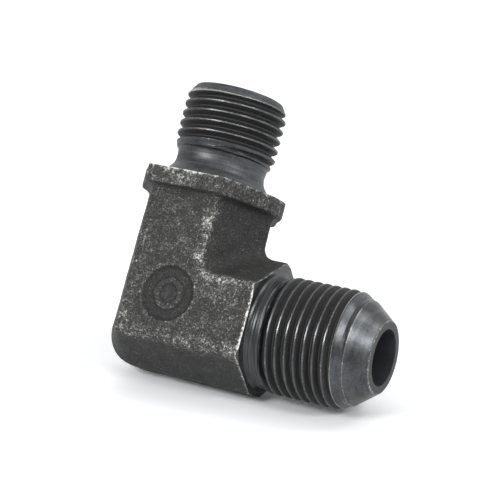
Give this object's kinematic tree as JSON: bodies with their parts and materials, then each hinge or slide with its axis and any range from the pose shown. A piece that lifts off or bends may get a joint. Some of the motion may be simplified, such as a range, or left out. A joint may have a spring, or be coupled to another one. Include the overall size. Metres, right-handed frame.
{
  "type": "hydraulic elbow adapter",
  "caption": "Forged right-angle hydraulic fitting: hexagonal body, male threaded end with a flare cone, and male stud end with collar and relief groove.",
  "frame": {"origin": "where the axes of the two arms, and of the bores drilled from their mouths, cross", "axes": "+X along the flare arm towards its nose; -Z out of the lower rear facet of the hexagonal body, on which it rests; the stud arm's axis leans 30 degrees from +Z towards +Y"},
  "size_m": [0.0455, 0.0343, 0.0432],
  "materials": {
    "forged_steel": "dark oxide on rough forged faces and on satin turned faces, worn bright along the edges and thread crests"
  },
  "bodies": {
    "root": {"elbow_adapter": "forged_steel"}
  },
  "joints": []
}
